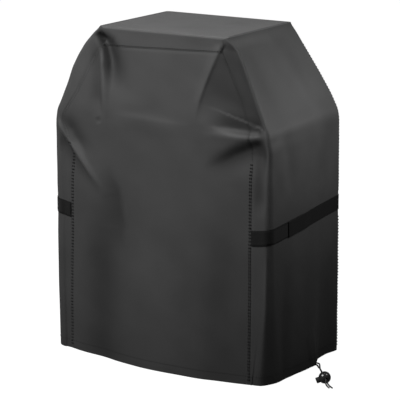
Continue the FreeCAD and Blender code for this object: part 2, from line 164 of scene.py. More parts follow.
def ridge(a, b, line, width, height, fade=(.25, .35), narrow=1.0):
    """A fold along a line: height times a bell of the distance over width. Two widths are those of the line's
    left-hand and right-hand sides, so a fold can be steep on one side and soft on the other. It starts with a
    narrow share of its widths and opens evenly along its length."""
    distance, share = beside(a, b, line)
    left, right = width if isinstance(width, tuple) else (width, width)
    opened = np.where(distance > 0, left, right) * (narrow + (1 - narrow) * share)
    return height * along_fade(share, fade) * np.exp(-(distance / opened) ** 2)


def facet(a, b, line, width, height, fade=(0, .5)):
    """A pulled facet: the cloth turns down at a line and has dropped by height, all but a third, one width away
    on its left-hand side."""
    distance, share = beside(a, b, line)
    return height * along_fade(share, fade) * (1 - np.exp(-np.maximum(distance, 0) / width))


FRONT_FOLDS = [              # each a line down the cloth, its width, its height outwards and how its ends fade
    ([(-.248, 1.05), (-.238, .951), (-.228, .856), (-.218, .785)], (.012, .026), -.007, (.25, .35)),
    ([(-.232, 1.04), (-.219, .951), (-.206, .856), (-.196, .79)], (.016, .012), .006, (.3, .4)),
    ([(-.236, 1.064), (-.214, 1.032), (-.195, .985), (-.182, .935), (-.169, .885), (-.158, .84)],
     (.07, .038), -.023, (0, .8), .3),
    ([(-.196, 1.046), (-.178, 1.03), (-.155, .998)], (.012, .007), -.003, (.1, .6)),
    ([(-.233, .8), (-.224, .78)], .009, -.002, (.3, .3)),
    ([(.213, 1.05), (.19, .996), (.168, .941), (.149, .884), (.137, .82)], (.003, .02), .0028, (0, .4)),
    ([(.378, .811), (.32, .813), (.27, .817), (.215, .821), (.165, .826)], (.014, .03), -.0105, (.1, .6)),
    ([(.385, .792), (.32, .791), (.25, .79), (.15, .788)], (.014, .012), .0028, (.15, .6)),
    ([(.402, .785), (.345, .759), (.285, .733), (.215, .692), (.17, .66)], (.055, .024), -.018, (.16, .65)),
    ([(-.402, .782), (-.335, .697), (-.269, .623), (-.2, .545)], (.012, .008), .0085, (.0, .5)),
    ([(-.385, .74), (-.335, .667), (-.275, .596), (-.215, .52)], (.014, .034), -.009, (.2, .5)),
    ([(-.372, .8), (-.315, .722), (-.255, .655)], (.03, .016), -.0085, (.35, .5)),
    ([(-.205, .64), (-.158, .56), (-.135, .45), (-.14, .34)], (.022, .06), -.008, (.35, .5)),
    ([(-.225, .56), (-.215, .3), (-.205, .02)], (.07, .06), -.0075, (.35, .0)),
    ([(-.33, .42), (-.32, .02)], .035, .003, (.5, .0)),
    ([(.01, .56), (.01, .02)], .09, .006, (.6, .0)),
    ([(.262, .56), (.262, .02)], (.05, .07), -.004, (.5, .0)),
    ([(.377, .775), (.378, .66), (.378, .54)], .02, -.006, (.2, .3)),
    ([(-.19, .812), (-.02, .806), (.15, .8)], (.016, .028), .0026, (.3, .4)),
]


def folded(a, b, folds):
    """The sum of the listed folds."""
    return sum(ridge(a, b, *fold) for fold in folds)


def front_folds(x, z):
    """Folds of the front, in metres outwards: creases that hang from the flap, drag lines from the shoulders, and
    long soft waves below. Beside the right front seam the hood is pulled in as a facet."""
    pulled = facet(x, z, [(.217, 1.046), (.193, .996), (.171, .941), (.152, .884), (.139, .82)], .03, -.013, (0, .5))
    return folded(x, z, FRONT_FOLDS) + smooth(z, .782, .822) * pulled


SIDE_FOLDS = [
    ([(-.165, .8), (-.12, .7), (-.09, .56)], .038, .003, (.2, .5)),
    ([(-.115, .8), (-.07, .69), (-.045, .56)], .036, -.0026, (.2, .5)),
    ([(.2, .8), (.14, .69), (.105, .56)], .045, -.0026, (.2, .5)),
    ([(-.105, .42), (-.11, .02)], .03, -.0045, (.5, 0)),
    ([(-.035, .42), (-.04, .02)], .042, .0028, (.5, 0)),
    ([(.17, .42), (.165, .02)], .045, -.0024, (.5, 0)),
    ([(-.12, 1.06), (-.11, .95), (-.08, .85)], .04, -.0024, (.2, .4)),
    ([(.06, 1.04), (.08, .9), (.07, .83)], .05, .0022, (.2, .4)),
    ([(-.22, .812), (.26, .812)], (.014, .02), .0022, (0, 0)),
]
EXIT_FOLDS = [               # puckers that run up from the cord exit
    ([(.072, .005), (.05, .17)], .008, .003, (0, .5)),
    ([(.088, .005), (.105, .2)], .009, -.0035, (0, .5)),
    ([(.04, .005), (.005, .15)], .009, -.0022, (0, .5)),
]


def side_folds(y, z, side):
    """Folds of a side: soft waves that hang from the shoulder, and drag lines from its two corners down to the
    strap. Puckers at the cord exit die away upwards as a bell."""
    near_exit = np.where(side > 0, np.exp(-(z / .13) ** 2), 0)
    return folded(y, z, SIDE_FOLDS) + near_exit * folded(y, z, EXIT_FOLDS)


BACK_FOLDS = [
    ([(.215, 1.04), (.19, .94), (.175, .83)], .016, -.006, (0, .5)),
    ([(.24, 1.04), (.215, .94), (.2, .83)], .016, .0048, (.1, .5)),
    ([(-.2, 1.04), (-.185, .95), (-.15, .85)], .016, -.0065, (0, .5)),
    ([(-.228, 1.04), (-.21, .95), (-.175, .85)], .016, .0045, (.1, .5)),
    ([(.385, .79), (.3, .69), (.215, .61)], .02, .005, (.1, .5)),
    ([(.385, .755), (.305, .655), (.225, .57)], .022, -.0055, (.1, .5)),
    ([(-.385, .79), (-.31, .72), (-.23, .66)], .02, .0045, (.1, .5)),
    ([(-.385, .755), (-.315, .68), (-.24, .62)], .022, -.005, (.1, .5)),
]
BACK_FOLDS += [([(place, .55), (place * 1.04, .02)], .055, height, (.5, 0))
               for place, height in ((-.27, .0045), (-.1, -.005), (.06, .0045), (.22, -.0045))]


def relief(q, z):
    """How far the cloth stands off its plain outline: the folds of each wall, slow hand-made unevenness, and the
    grooves along the seams. The parts of two walls die away over the corner between them."""
    x, y = outline(q, z)
    u, side = np.abs(q), np.where(q < 0, -1.0, 1.0)
    on_front = 1 - smooth(u, 1.6, 2.7)
    on_side = smooth(u, 2.4, 3.12) * (1 - smooth(u, 3.93, 4.5))
    on_back = smooth(u, 4.6, 5.04)
    lift = on_front * front_folds(x, z) + on_side * side_folds(y, z, side) + on_back * folded(x, z, BACK_FOLDS)
    around = x * 1.7 + y * 2.3
    lift = lift + .0005 * np.sin(13 * around + 5 * z + 2 * np.sin(7 * z)) * np.sin(11 * z - 6 * around)
    lift = lift + .00022 * np.sin(47 * z + 19 * around + 2 * np.sin(23 * y + 5 * z))
    strap_line = .488 + .052 * np.clip(y + .165, 0, .5)
    held = np.exp(-((z - strap_line) / .055) ** 2) * smooth(u, 1.0, 1.7) * (1 - smooth(u, 4.3, 5.0))
    lift = lift * (1 - .75 * held) - .0012 * held
    lift = lift - np.where(side > 0, .002, .0005) * np.exp(-((u - 2.25) / .3) ** 2) * smooth(z, .79, .84)
    lift = lift + np.where(side > 0, .003, 0) * np.exp(-((u - 2.3) / .14) ** 2) * (1 - smooth(z, .36, .5))
    lift = lift * (1 - smooth(z, 1.05, 1.083))
    for seam, before, after in ((1, .33, .028), (5, .5, .4)):       # metres to a unit of place on each side of it
        distance = np.abs(u - seam) * np.where(u < seam, before, after)
        lift = lift - .0009 * np.exp(-(distance / .0024) ** 2)
    return lift


def unit(ways):
    """Each way divided by its length."""
    return ways / np.linalg.norm(ways, axis=-1, keepdims=True)


def skin(q, z, out=0.0, normals=False):
    """Points of the cloth's outer face: the outline, moved along its outward normal by the relief and by out. The
    normal is the cross product of the steps round and up."""
    q, z = np.broadcast_arrays(np.asarray(q, float), np.asarray(z, float))
    step = .004
    around, upward = (np.stack([*(np.array(outline(q + dq, z + dz)) - outline(q - dq, z - dz)), 2 * dz + 0 * z], -1)
                      for dq, dz in ((step, 0), (0, step)))
    normal = unit(np.cross(around, upward))
    points = np.stack([*outline(q, z), z], -1) + normal * (relief(q, z) + out)[..., None]
    return (points, normal) if normals else points


def placed(name, data):
    """A new object of the scene that holds a mesh, a lamp, a camera or a curve."""
    piece = bpy.data.objects.new(name, data)
    bpy.context.scene.collection.objects.link(piece)
    return piece


def grid_piece(name, points, metres, keep=None, wall=CLOTH, lift=None):
    """A piece from a grid of points: rows upwards, columns to the right as seen from outside, with its flat place
    in metres as its UV map and its folds' lift in metres as an attribute. A wall gives it thickness inwards."""
    rows, columns = points.shape[:2]
    ids = np.arange(rows * columns).reshape(rows, columns)
    quads = np.stack([ids[:-1, :-1], ids[:-1, 1:], ids[1:, 1:], ids[1:, :-1]], -1).reshape(-1, 4)
    if keep is not None:
        quads = quads[keep.reshape(-1)]
    mesh = bpy.data.meshes.new(name)
    mesh.from_pydata(points.reshape(-1, 3).tolist(), [], quads.tolist())
    mesh.uv_layers.new(name="cloth").data.foreach_set("uv", metres.reshape(-1, 2)[quads.reshape(-1)].reshape(-1))
    if lift is not None:
        mesh.attributes.new("lift", "FLOAT", "POINT").data.foreach_set("value", lift.reshape(-1))
    mesh.shade_smooth()
    piece = placed(name, mesh)
    if keep is not None:
        work = bmesh.new()
        work.from_mesh(mesh)
        bmesh.ops.delete(work, geom=[v for v in work.verts if not v.link_faces], context="VERTS")
        work.to_mesh(mesh)
        work.free()
    if wall:
        solid = piece.modifiers.new("thickness", "SOLIDIFY")
        solid.thickness, solid.offset = wall, -1
        depsgraph = bpy.context.evaluated_depsgraph_get()
        walled = bpy.data.meshes.new_from_object(piece.evaluated_get(depsgraph), preserve_all_data_layers=True,
                                                 depsgraph=depsgraph)
        piece.modifiers.clear()
        piece.data = walled
        walled.set_sharp_from_angle(angle=math.radians(50))
    return piece


def flat_metres(points):
    """Where each grid point lies on the flat cloth: running lengths along the middle row and up each column's
    mean."""
    steps = np.linalg.norm(np.diff(points, axis=1), axis=-1)
    across = np.concatenate([np.zeros((points.shape[0], 1)), np.cumsum(steps, axis=1)], axis=1)
    across -= across[:, -1:] / 2
    rises = np.linalg.norm(np.diff(points, axis=0), axis=-1).mean(axis=1)
    up = np.concatenate([[0], np.cumsum(rises)])
    return np.stack([across, np.broadcast_to(up[:, None], across.shape)], -1)


def node_set(name, roughness, specular=.5, **sockets):
    """An empty node material whose main shader has the given inputs, and six helpers that build on it."""
    material = bpy.data.materials.new(name)
    material.use_nodes = True
    nodes, links = material.node_tree.nodes, material.node_tree.links

    def fill(node, inputs):
        """Sets or links inputs of a node, by their names or as i and a number."""
        for key, value in inputs.items():
            socket = node.inputs[int(key[1:]) if key[0] == "i" and key[1:].isdigit() else key.replace("_", " ")]
            if isinstance(value, bpy.types.NodeSocket):
                links.new(value, socket)
            else:
                socket.default_value = value
        return node

    def add(kind, settings=(), **inputs):
        """A new node with its settings and inputs."""
        node = nodes.new(kind)
        for key, value in dict(settings).items():
            setattr(node, key, value)
        return fill(node, inputs)

    def surface(**inputs):
        """Sets or links inputs of the main shader."""
        fill(nodes["Principled BSDF"], inputs)

    def sums(kind, a, b=0.0):
        """The result of a sum of two values."""
        return add("ShaderNodeMath", {"operation": kind}, i0=a, i1=b).outputs[0]

    def noise(scale, detail, **more):
        """Noise fixed to the object."""
        place = add("ShaderNodeTexCoord").outputs["Object"]
        return add("ShaderNodeTexNoise", Vector=place, Scale=scale, Detail=detail, **more).outputs["Fac"]

    def tones(share, dark, light, start=0.0, end=1.0):
        """A colour that goes evenly from dark to light as share goes from start to end."""
        ramp = add("ShaderNodeValToRGB", i0=share)
        for stop, place, colour in zip(ramp.color_ramp.elements, (start, end), (dark, light)):
            stop.position, stop.color = place, (*np.broadcast_to(colour, 3).tolist(), 1)
        return ramp.outputs["Color"]

    def bumped(strength, distance, height, **under):
        """A surface direction that follows a height, over another one if given."""
        return add("ShaderNodeBump", Strength=strength, Distance=distance, Height=height, **under).outputs["Normal"]

    surface(Roughness=roughness, Specular_IOR_Level=specular, **sockets)
    return material, surface, add, sums, noise, tones, bumped


def woven(name, dark, light, yarn, roughness, bump, sheen=.04, gloss=.3, painted_shade=False):
    """Plain-weave cloth: warp and weft ribs are the absolute sines of the two flat directions, shown by turns on a
    checker one yarn wide; colour drifts from dark to light with slow and fine noise, and roughness follows it. With
    painted shade, the colour also has painted light on raised folds, painted shade in their hollows and painted shade
    towards the hem."""
    material, surface, add, sums, noise, tones, bumped = node_set(name, roughness, gloss, Sheen_Weight=sheen,
                                                                  Sheen_Roughness=.45)
    flat = add("ShaderNodeUVMap", {"uv_map": "cloth"}).outputs["UV"]
    place = add("ShaderNodeTexCoord").outputs["Object"]
    warp, weft = (sums("ABSOLUTE", sums("SINE", sums("MULTIPLY", way, math.pi / yarn)))
                  for way in add("ShaderNodeSeparateXYZ", i0=flat).outputs[:2])
    turns = add("ShaderNodeTexChecker", Vector=flat, Scale=1 / yarn, Color1=(1, 1, 1, 1), Color2=(0, 0, 0, 1))
    rib = add("ShaderNodeMix", {"data_type": "FLOAT"}, Factor=turns.outputs["Fac"], i2=warp, i3=weft).outputs[0]
    slow = noise(6.0, 3.0, Roughness=.55)
    fine = noise(420.0, 2.0)
    detail = sums("ADD", sums("MULTIPLY", fine, .22), sums("MULTIPLY", rib, .16))
    tone = tones(sums("ADD", sums("MULTIPLY", slow, .62), detail), dark, light, .25, .78)
    if painted_shade:
        lift = add("ShaderNodeAttribute", {"attribute_name": "lift"}).outputs["Fac"]
        # Painted shade and light: the colour is darker in the folds' hollows and lighter on their raised crests, as
        # shade and light would fall on them.
        painted_fold_shade = add("ShaderNodeMapRange", {"interpolation_type": "SMOOTHSTEP"},
                   i0=lift, i1=-.017, i2=.007, i3=.4, i4=1.1).outputs[0]
        # Painted shade: the colour is darker towards the hem, where less light falls.
        height = add("ShaderNodeSeparateXYZ", i0=place).outputs[2]
        painted_hem_shade = add("ShaderNodeMapRange", i0=height, i1=0.0, i2=.62, i3=.74, i4=1.0).outputs[0]
        share = sums("MULTIPLY", painted_fold_shade, painted_hem_shade)
        tone = add("ShaderNodeVectorMath", {"operation": "SCALE"}, i0=tone, Scale=share).outputs[0]
    rough = add("ShaderNodeMapRange", i0=slow, i1=.3, i2=.7, i3=roughness - .05, i4=roughness + .07).outputs[0]
    crinkle = noise(38.0, 3.0, Roughness=.5)
    weave = bumped(.55, bump, rib)
    surface(Base_Color=tone, Roughness=rough, Normal=bumped(.25, .0012, crinkle, Normal=weave))
    return material


def flap_line(x):
    """Height of the flap's lower edge, which rises a little to the right as the cover hangs."""
    return 1.0368 + .034 * x


# The cover's cloth has painted shade in its fold hollows, painted light on its fold crests and painted shade towards
# the hem.
cover_cloth = woven("coated_polyester", .046, .064, .0011, .52, .00016, sheen=.02, gloss=.24, painted_shade=True)

rows = np.linspace(0, 1, 236)[:, None]
columns = np.linspace(-1, 1, 161)[None, :]
q = np.broadcast_to(columns, (236, 161))
z = rows * (flap_line(q * FLAP_HALF) + .004)
points = skin(q, z, out=-.001 * smooth(rows, .985, 1) + 0 * q)
front = grid_piece("front_cloth", points, flat_metres(points), lift=relief(q, z))
front.data.materials.append(cover_cloth)
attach(front, "cover")
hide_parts("front_panel")


# ---- back panel
# The back of the cover, cut like the front but flat, because this side stands near a wall. It is
# sewn to the side panels at the rear corners and to the top panel's back flap.

BACK_FLAP = 1.044            # lower edge of the top panel's back flap
FLAP_STITCH = .004           # from a flap's lower edge up to its stitches, where the wall ends too


def back_place(c):
    """Place round the cover of a point across the back, from minus 1 at the left-hand seam to 1 at the right-hand
    seam."""
    return np.where(c >= 0, 6 - c, -6 - c)


columns = np.linspace(1, -1, 151)[None, :]
c = np.broadcast_to(columns, (200, 151))
z = np.linspace(0, 1, 200)[:, None] * (BACK_FLAP + FLAP_STITCH) + 0 * c
points = skin(back_place(c), z, out=-.001 * smooth(z, 1.036, 1.045))
back = grid_piece("back_cloth", points, flat_metres(points), lift=relief(back_place(c), z))
back.data.materials.append(cover_cloth)
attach(back, "cover")
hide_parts("back_panel")


# ---- side panels
# Each side is one piece of the same cloth that runs from the front seam round the corner to the
# back seam, and up to the top panel. The right one has a slot in its hem where the cord comes out.

SIDES = (("right", 1), ("left", -1))
SLOT_Y, SLOT_Z = (.056, .084), (.00165, .00815)
STRAP_Z = .49                # height at which places along a side are found


def side_share(y, sign, z=STRAP_Z):
    """Place round the side of a point at depth y, found on the outline at height z."""
    places = np.linspace(3, 4, 200)
    _, depth = outline(sign * places, np.full(200, z))
    return np.interp(y, depth, places)


def places_through(stops, counts):
    """Places from stop to stop, each run with its own count of even steps and the stops themselves shared."""
    runs = [np.linspace(start, end, count)[1:] for start, end, count in zip(stops, stops[1:], counts)]
    return np.concatenate([[stops[0]], *runs])


def side_columns(exit_slot):
    """Places round the side from the front seam to the back seam, closer together at the corners and at the
    slot."""
    if not exit_slot:
        return places_through((1, 2, 3, 4, 5), (8, 22, 90, 11))
    begin, finish = side_share(SLOT_Y[0], 1, .005), side_share(SLOT_Y[1], 1, .005)
    return places_through((1, 2, 3, begin, finish, 4, 5), (8, 22, 46, 9, 36, 11))


def wall_top(q):
    """Upper edge of a side panel: level under the top panel, and a little lower at its two ends beside the
    flaps."""
    u = np.abs(q)
    return TOP_SEAM - .001 + .006 * smooth(u, 1.0, 1.5) * (1 - smooth(u, 4.9, 5.0))


for name, sign in SIDES:
    places = side_columns(sign > 0)
    low = np.array([0, SLOT_Z[0], .0035, .005, .0065, SLOT_Z[1], .011])
    heights = np.concatenate([low, np.linspace(.015, 1.0, 222)])
    if sign < 0:
        places = -places[::-1]
    q = np.broadcast_to(places[None, :], (len(heights), len(places)))
    z = np.where(heights[:, None] <= .0111, heights[:, None], heights[:, None] * wall_top(q))
    points = skin(q, z)
    keep = None
    if sign > 0:
        middle = points[:-1, :-1] / 2 + points[1:, 1:] / 2
        keep = ~((middle[..., 1] > SLOT_Y[0]) & (middle[..., 1] < SLOT_Y[1]) & (middle[..., 2] > SLOT_Z[0])
                 & (middle[..., 2] < SLOT_Z[1]) & (np.abs(q[:-1, :-1] - 3.5) < .5))
    side_cloth = grid_piece(name + "_side_cloth", points, flat_metres(points), keep, lift=relief(q, z))
    side_cloth.data.materials.append(cover_cloth)
    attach(side_cloth, "cover")
    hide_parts(name + "_side_panel")


# ---- top panel
# The top is one strip that lies flat on the grill's lid and folds down at both ends as a short
# flap over the front and the back. Its long edges lap 3 mm over the side panels.

FOLD = .008                  # radius of both folds
FLAP_OUT = .0009             # how far a flap lies outside the wall below it
SEAM_X = .2345               # the long edges' stitches, from the middle


SAG = .0022                  # of the top's middle
LAP = .003                   # of the long edges over the side panels


def bowl(x, y):
    """Share of the sag at a place on the top: 1 less the square of each way's share of its half, multiplied."""
    return (1 - (x / .242) ** 2) * np.clip(1 - ((y - .025) / .2) ** 2, 0, 1)


def top_run(c, v):
    """A point of the top: v from 0 to 1 up the front flap, 1 to 2 round the front fold, 2 to 3 across the top, 3
    to 4 round the back fold and 4 to 5 down the back flap. Folds are quarter circles; the flat part sags by a
    flat bowl."""
    crest = HEIGHT - FOLD
    low = flap_line(c * FLAP_HALF)
    lower = skin(c, low + np.clip(v, 0, 1) * (crest - low), out=FLAP_OUT)
    upper = skin(c, np.full(c.shape, crest), out=FLAP_OUT)
    rear_low = skin(back_place(c), BACK_FLAP + np.clip(5 - v, 0, 1) * (crest - BACK_FLAP), out=FLAP_OUT)
    rear_up = skin(back_place(c), np.full(c.shape, crest), out=FLAP_OUT)
    turn = np.clip(v - 1, 0, 1) * math.pi / 2
    turn_back = np.clip(v - 3, 0, 1) * math.pi / 2
    front_y, back_y = upper[..., 1] + FOLD, rear_up[..., 1] - FOLD
    y = np.where(v < 2, front_y - FOLD * np.cos(turn), front_y + (v - 2) * (back_y - front_y))
    y = np.where(v > 3, back_y + FOLD * np.sin(turn_back), y)
    turn_radius = np.where(y < 0, .012, .02)
    room = np.clip(np.minimum(y + .1785, .2275 - y), 0, turn_radius)
    half = .2411 - turn_radius + np.sqrt(np.maximum(turn_radius ** 2 - (turn_radius - room) ** 2, 0))
    x = c * half
    z = HEIGHT - FOLD + FOLD * np.where(v < 2, np.sin(turn), 1)
    z = np.where(v > 3, HEIGHT - FOLD + FOLD * np.cos(turn_back), z)
    wave = .0009 * np.sin(21 * x + 13 * y) + .0007 * np.sin(37 * y - 19 * x)
    z = z + bowl(x, y) * (wave - SAG)
    body = np.stack([x, y, z], -1)
    return np.where((v < 1)[..., None], lower, np.where((v > 4)[..., None], rear_low, body))


c, v = np.meshgrid(np.linspace(-1, 1, 101), places_through((0, 1, 2, 3, 4, 5), (14, 9, 86, 9, 12)))
points = top_run(c, v)
edge = points[:, [0, -1]].copy()
on_top = ((v[:, 0] > 1.3) & (v[:, 0] < 3.7))[:, None]
edge[:, :, 2] -= np.where(on_top, LAP, 0)
edge[:, 0, 0] -= np.where(on_top[:, 0], .0008, 0)
edge[:, 1, 0] += np.where(on_top[:, 0], .0008, 0)
points = np.concatenate([edge[:, :1], points, edge[:, 1:]], axis=1)
low = flap_line(c * FLAP_HALF)
flap = np.where(v < 1, relief(c, low + np.clip(v, 0, 1) * (HEIGHT - FOLD - low)), 0)
flap = np.concatenate([flap[:, :1], flap, flap[:, -1:]], axis=1)
top = grid_piece("top_cloth", points, flat_metres(points), wall=.0012, lift=flap)
top.data.materials.append(cover_cloth)
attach(top, "cover")
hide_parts("top_panel")


# ---- hem casing
# The lower edge of each panel is turned up 30 mm inside and stitched down, which leaves a channel
# for the drawcord. Seen from below it is a narrow tube of cloth all round.

CHANNEL = (.0022, .0097)     # from the outer face, the clear width for the cord


def turned_out(name, mesh):
    """A piece from a closed mesh, with its faces turned outwards."""
    work = bmesh.new()
    work.from_mesh(mesh)
    bmesh.ops.recalc_face_normals(work, faces=work.faces)
    work.to_mesh(mesh)
    work.free()
    mesh.shade_smooth()
    return placed(name, mesh)


def carried(name, sections, uv="cloth"):
    """A closed section carried along a path: sections is an array of rings, one ring of points for each place on
    the path. Both ends are closed by one face each, and the faces are turned outwards."""
    count, around = sections.shape[:2]
    ids = np.arange(count * around).reshape(count, around)
    nxt = np.roll(ids, -1, axis=1)
    quads = np.stack([ids[:-1], nxt[:-1], nxt[1:], ids[1:]], -1).reshape(-1, 4).tolist()
    faces = quads + [ids[0][::-1].tolist(), ids[-1].tolist()]
    mesh = bpy.data.meshes.new(name)
    mesh.from_pydata(sections.reshape(-1, 3).tolist(), [], faces)
    run = np.concatenate([[0], np.cumsum(np.linalg.norm(np.diff(sections.mean(axis=1), axis=0), axis=1))])
    girth = np.linalg.norm(np.roll(sections, -1, axis=1) - sections, axis=-1).mean(axis=0)
    turn = np.concatenate([[0], np.cumsum(girth)])
    if uv == "cord":
        turn /= turn[-1]
    flat = np.stack(np.broadcast_arrays(run[:, None], turn), -1)
    corners = np.stack([flat[:-1, :-1], flat[:-1, 1:], flat[1:, 1:], flat[1:, :-1]], axis=2).reshape(-1, 2)
    loops = np.zeros((len(mesh.loops), 2))
    loops[:len(corners)] = corners
    mesh.uv_layers.new(name=uv).data.foreach_set("uv", loops.reshape(-1))
    piece = turned_out(name, mesh)
    mesh.set_sharp_from_angle(angle=math.radians(50))
    return piece


hem_cloth = woven("hem_polyester", .013, .021, .0011, .62, .00016, sheen=.08)
ply = .0013
near, far = CHANNEL
section = [(near, .0006), (far + ply - .001, .0006), (far + ply, .0016), (far + ply, .02), (far + ply - .002, .024),
           (near + ply, .0296), (near, .03), (near, .029), (near + ply - .0002, .0285), (far - .002, .0225),
           (far, .0195), (far, .0019), (near, .0019)]
side_run = places_through((1.1, 2, 3, 4, 4.9), (6, 16, 70, 8))
for name, q, wall in (("front", np.linspace(-.985, .985, 110), "front_cloth"), ("right", side_run, "right_side_cloth"),
                      ("back", back_place(np.linspace(.985, -.985, 90)), "back_cloth"),
                      ("left", -side_run, "left_side_cloth")):
    rings = np.stack([skin(q, np.full(q.shape, high), out=-inward) for inward, high in section], axis=1)
    casing = carried(name + "_hem", rings)
    casing.data.materials.append(hem_cloth)
    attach(casing, "cover")
    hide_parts(name + "_hem_casing")
    length = float(np.linalg.norm(np.diff(rings.mean(axis=1), axis=0), axis=1).sum())


# ---- seam bindings
# Inside the cover every seam's raw edge is bound with a 15 mm strip of thinner cloth: down the
# four upright seams, along the top panel's two long edges, and below the two flaps.

binding_cloth = woven("binding_tape", .01, .017, .0007, .6, .0001, sheen=.1)


def strip(name, node, points, wall=.0008):
    """A flat strip of binding from a grid of points, with its own thickness."""
    piece = grid_piece(name, points, flat_metres(points), wall=wall)
    piece.data.materials.append(binding_cloth)
    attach(piece, "cover")
    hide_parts(node)
    return piece


BINDING = .015               # width of the strip
heights = np.linspace(.032, 1.036, 190)[:, None]
for name, sign in SIDES:
    reach = np.linspace(0, 1, 5)[None, :]
    seam = seam_place(heights, np.full(heights.shape, sign))
    room = np.abs(outline(2.0 * sign + 0 * heights, heights)[0]) - seam
    past_seam = np.clip(BINDING / np.maximum(room, .002), 0, .9)
    for end, q, cloth in (("front", 1.02 + reach * past_seam, name + "_side_cloth"),
                          ("back", 5 + reach * BINDING / (rear_half_width(heights) - .018), "back_cloth")):
        q = sign * (q if sign > 0 else q[:, ::-1])
        upright = strip(f"{name}_{end}_binding", f"{name}_{end}_seam_binding", skin(q, heights + 0 * q, out=-.0019))
    y = np.linspace(-.158, .208, 60)[:, None]
    x = sign * (SEAM_X - BINDING * np.linspace(0, 1, 5)[None, :])
    x = (x if sign < 0 else x[:, ::-1]) + 0 * y
    under = np.stack([x, y + 0 * x, HEIGHT - .0049 - .0012 * (1 - (x / .25) ** 2)], -1)
    top_edge = strip(name + "_top_binding", name + "_top_seam_binding", under)

c = np.linspace(-.9, .9, 90)[None, :]
drop = np.linspace(.018, .003, 5)[:, None]
for name, q, edge, flat in (("front", c, flap_line(c * FLAP_HALF), (.4, .015)),
                            ("back", back_place(-c), BACK_FLAP, (.43, .015))):
    points = skin(q + 0 * drop, edge - drop + 0 * q, out=-.0022)
    flap_strip = strip(name + "_flap_strip", name + "_flap_binding", points)


# ---- cord lock
# A ball of moulded nylon that clamps both tails. A plunger with a slot slides in its bore against a
# steel spring: pressed in, it frees the cord; let go, it grips it.


def moulded(name, dark, light, roughness, coat):
    """Moulded plastic: a near-black colour with faint flow marks, a fine bump, and scuffs that roughen it in
    places."""
    material, surface, add, sums, noise, tones, bumped = node_set(name, roughness, Coat_Weight=coat, Coat_Roughness=.12)
    flow = noise(60.0, 4.0, Distortion=1.2)
    scuff = noise(260.0, 5.0)
    rough = add("ShaderNodeMapRange", i0=scuff, i1=.45, i2=.75, i3=roughness, i4=roughness + .16).outputs[0]
    surface(Base_Color=tones(flow, dark, light), Roughness=rough, Normal=bumped(.15, .0002, scuff))
    return material


def finish_node(node, material):
    """Gives a part of the frame its finish."""
    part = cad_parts[node]
    part.data.materials.clear()
    part.data.materials.append(material)


finish_node("cord_lock_body", moulded("lock_nylon", .012, .03, .22, .4))
finish_node("cord_lock_plunger", moulded("plunger_nylon", .016, .04, .26, .3))
steel, surface, add, sums, noise, tones, bumped = node_set("spring_wire", .28, Metallic=1.0)
drawn = noise(900.0, 3.0)
surface(Base_Color=tones(drawn, (.36, .35, .34), (.62, .61, .6)), Normal=bumped(.2, .0001, drawn))

coil = bmesh.new()
coil.from_mesh(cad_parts["cord_lock_spring"].data)
bmesh.ops.remove_doubles(coil, verts=coil.verts, dist=1e-6)
wound = bpy.data.meshes.new("lock_spring_wire")
coil.to_mesh(wound)
coil.free()
wound.materials.clear()
wound.materials.append(steel)
wound.shade_smooth()
wound.set_sharp_from_angle(angle=math.radians(50))
spring = placed("lock_spring_wire", wound)
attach(spring, "cord_lock")
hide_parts("cord_lock_spring")
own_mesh(spring)


# ---- drawcord
# A 5 mm braided polyester cord that runs once round the hem in its channel, and leaves through the
# slot in the right side as two free tails. They cross the floor through the cord lock and end bare,
# heat-sealed so that they can't fray.

CORD = .0025                 # radius
CORD_Z = .0049               # height of its middle in the channel


def braided(name):
    """Braided cord: two sets of slanting strands are sines of the run along the cord plus and minus the turn
    round it, eight waves to a full turn; their larger value is the height and lightens the colour."""
    material, surface, add, sums, noise, tones, bumped = node_set(name, .58, .4, Sheen_Weight=.15)
    parts = add("ShaderNodeSeparateXYZ", i0=add("ShaderNodeUVMap", {"uv_map": "cord"}).outputs["UV"]).outputs
    run, turn = sums("MULTIPLY", parts[0], 1400.0), sums("MULTIPLY", parts[1], 50.2655)
    strand = sums("MAXIMUM", sums("SINE", sums("ADD", run, turn)), sums("SINE", sums("SUBTRACT", run, turn)))
    level = add("ShaderNodeMapRange", i0=strand, i1=-.4, i2=1.0, i3=0.0, i4=1.0).outputs[0]
    worn = noise(90.0, 3.0)
    share = sums("ADD", sums("MULTIPLY", level, .7), sums("MULTIPLY", worn, .3))
    surface(Base_Color=tones(share, .004, (.02, .02, .021)), Normal=bumped(.6, .0003, level))
    return material


def tube(name, line, radii, sides=16):
    """A round tube: circles of the given radii square to the line. Each circle's first direction is level, the
    cross product of the line's way and straight up, and its second is square to both."""
    ahead = unit(np.gradient(line, axis=0))
    first = unit(np.cross(ahead, [0, 0, 1.0]))
    second = np.cross(first, ahead)
    turn = np.linspace(0, 2 * math.pi, sides, endpoint=False)[:, None]
    rings = line[:, None] + radii[:, None, None] * (np.cos(turn) * first[:, None] + np.sin(turn) * second[:, None])
    return carried(name, rings, uv="cord")


def cord_line(points):
    """The smooth line of a cord: a NURBS spline of order 3 with the route's points as its control points, read
    back as close points."""
    curve = bpy.data.curves.new("cord_route", "CURVE")
    curve.dimensions = "3D"
    spline = curve.splines.new("NURBS")
    spline.points.add(len(points) - 1)
    for point, place in zip(spline.points, points):
        point.co = (*place, 1)
    spline.order_u, spline.use_endpoint_u, spline.resolution_u = 3, True, 24
    holder = placed("cord_route", curve)
    mesh = bpy.data.meshes.new_from_object(holder.evaluated_get(bpy.context.evaluated_depsgraph_get()))
    line = np.array([v.co[:] for v in mesh.vertices])
    bpy.data.objects.remove(holder)
    bpy.data.meshes.remove(mesh)
    return line


